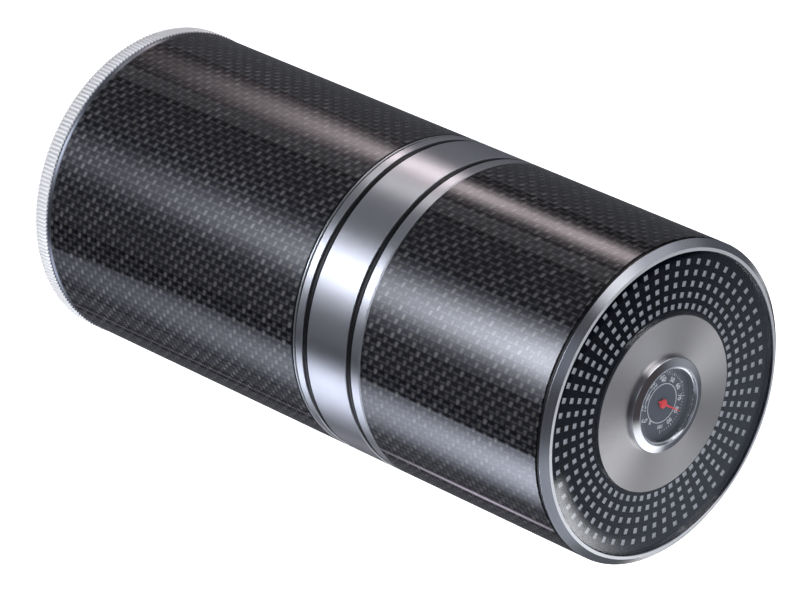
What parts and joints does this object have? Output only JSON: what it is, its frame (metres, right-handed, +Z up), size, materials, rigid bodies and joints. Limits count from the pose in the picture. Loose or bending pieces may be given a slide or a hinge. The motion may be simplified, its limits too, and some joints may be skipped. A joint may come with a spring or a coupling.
{
  "type": "cylinder humidor",
  "caption": "Upright carbon-fibre cylinder humidor with metal trim bands, lift-off lid with a dial hygrometer in its end face, and a knurled screw-off base that carries the humidifier.",
  "frame": {"origin": "centre of the underside of the foot pad, where the humidor stands", "axes": "+Z up along the tube's axis, from the knurled base to the hygrometer in the lid; +Y towards the side where the dial reads 80, which is the dial's right-hand side; -X is the top of the dial"},
  "size_m": [0.1046, 0.1046, 0.2322],
  "materials": {
    "carbon": "plain-weave carbon fibre under a clear gloss coat",
    "aluminium": "turned, fine satin",
    "band": "brushed around the band",
    "knurl": "bright straight knurl",
    "bezel": "turned, smooth, cool grey",
    "disc": "fine radial sheen",
    "dots": "satin silver",
    "inlay": "gloss black",
    "screen": "gloss blue-black",
    "glass": "clear",
    "chrome": "polished",
    "dial": "dark satin",
    "print": "white print",
    "red": "red enamel",
    "brass": "turned",
    "bimetal": "rolled strip",
    "steel": "turned",
    "rubber": "matt black",
    "cedar": "unfinished Spanish cedar",
    "plastic": "moulded black",
    "foam": "open-cell foam"
  },
  "bodies": {
    "body": {"body_tube": "carbon", "body_sleeve": "aluminium", "neck_orings": "rubber", "seam_gasket": "rubber", "body_end_ring": "aluminium", "seat_seal": "rubber", "body_liner": "cedar", "body_floor": "cedar", "base_ring": "aluminium", "floor_screws": "brass"},
    "base_gasket_ring": {"base_gasket": "rubber"},
    "base_cap_unit": {"base_cap": "knurl", "foot_pad": "rubber", "humidifier_cup": "plastic", "humidity_pad": "foam", "humidifier_grille": "plastic", "cup_screw": "steel"},
    "lid": {"lower_ring": "aluminium", "lower_inlay": "inlay", "mid_band": "band", "upper_inlay": "inlay", "upper_ring": "aluminium", "lid_tube": "carbon", "lid_sleeve": "aluminium", "bezel_gasket": "inlay", "bezel_ring": "bezel", "cover_glass": "glass", "dot_screen": "screen", "backing_plate": "dots", "centre_disc": "disc", "end_plate": "aluminium", "lid_inner_disc": "cedar", "lid_liner": "cedar", "disc_screws": "steel"},
    "hygrometer": {"gauge_housing": "steel", "gauge_bezel": "chrome", "gauge_lens": "glass", "gauge_dial": "dial", "dial_marks": "print", "gauge_ring": "rubber", "gauge_bridge": "brass", "bridge_screws": "steel", "gauge_coil": "bimetal"},
    "needle": {"pointer": "red", "arbor": "brass"}
  },
  "joints": [
    {"name": "lid_lift", "type": "slide", "parent": "body", "child": "lid", "axis": [0, 0, 1], "range_m": [0, 0.12]},
    {"name": "hygrometer_pull", "type": "slide", "parent": "lid", "child": "hygrometer", "axis": [0, 0, 1], "range_m": [0, 0.018]},
    {"name": "needle_turn", "type": "hinge", "parent": "hygrometer", "child": "needle", "pos_m": [0, 0, 0.229], "axis": [0, 0, 1], "range_deg": [-60, 240]},
    {"name": "base_cap_travel", "type": "slide", "parent": "body", "child": "base_gasket_ring", "axis": [0, 0, -1], "range_m": [0, 0.008]},
    {"name": "base_cap_turn", "type": "hinge", "parent": "base_gasket_ring", "child": "base_cap_unit", "pos_m": [0, 0, 0.003], "axis": [0, 0, -1], "range_deg": [0, 720]}
  ],
  "couplings": [
    {"joint": "base_cap_travel", "follows": "base_cap_turn", "m_per_rad": 0.00063662}
  ]
}
